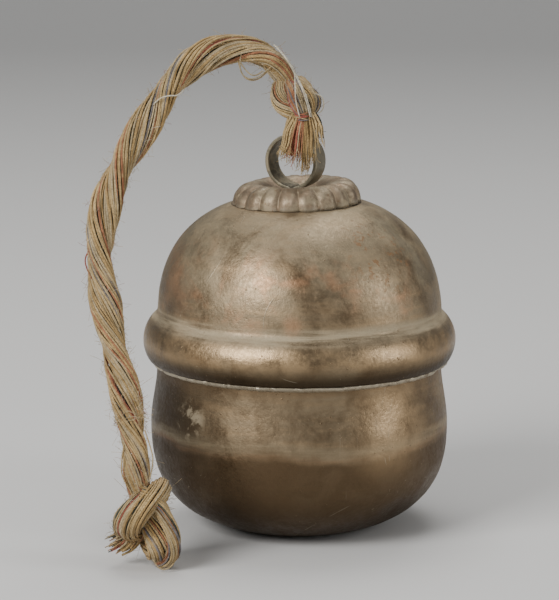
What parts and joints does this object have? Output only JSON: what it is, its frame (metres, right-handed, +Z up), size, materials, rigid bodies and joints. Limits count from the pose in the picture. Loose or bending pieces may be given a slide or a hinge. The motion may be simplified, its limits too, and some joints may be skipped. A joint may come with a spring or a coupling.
{
  "type": "pellet bell",
  "caption": "Closed brass pellet bell with a rolled waist bead, fluted cap, strap loop and a knotted yarn rope; a loose pellet rings it.",
  "frame": {"origin": "middle of the flat base that the bell stands on, on the bell's axis", "axes": "+Z up along the bell's axis, -Y towards the side shown in the picture, the sound slot along X, the rope falls on the -X side"},
  "size_m": [0.098, 0.0966, 0.1324],
  "materials": {
    "brass": "aged brown patina, worn satin",
    "solder": "dull solder",
    "cap_iron": "rusted mauve-brown iron",
    "strap_iron": "dark olive-grey iron, edges rubbed",
    "pellet_iron": "rusty iron",
    "rope_yarn": "straw yarn with a few coloured yarns",
    "pale_thread": "pale cotton thread"
  },
  "bodies": {
    "bell": {"upper_shell": "brass", "lower_shell": "brass", "seam_solder": "solder", "rosette_cap": "cap_iron", "hanging_loop": "strap_iron"},
    "pellet": {"pellet": "pellet_iron"},
    "cord": {"rope": "rope_yarn", "rope_eye": "rope_yarn", "ring_knot": "rope_yarn", "tassel": "rope_yarn", "binding_thread": "pale_thread", "end_knot": "rope_yarn"}
  },
  "joints": [
    {"name": "cord_swing", "type": "hinge", "parent": "bell", "child": "cord", "pos_m": [-0.00104, 0, 0.0988], "axis": [0.4225, 0.9063, 0.0111], "range_deg": [0, 75], "deforming": ["tassel"]},
    {"name": "pellet_roll", "type": "hinge", "parent": "bell", "child": "pellet", "pos_m": [0, 0, 0.0385], "axis": [1, 0, 0], "range_deg": [-75, 75]}
  ]
}
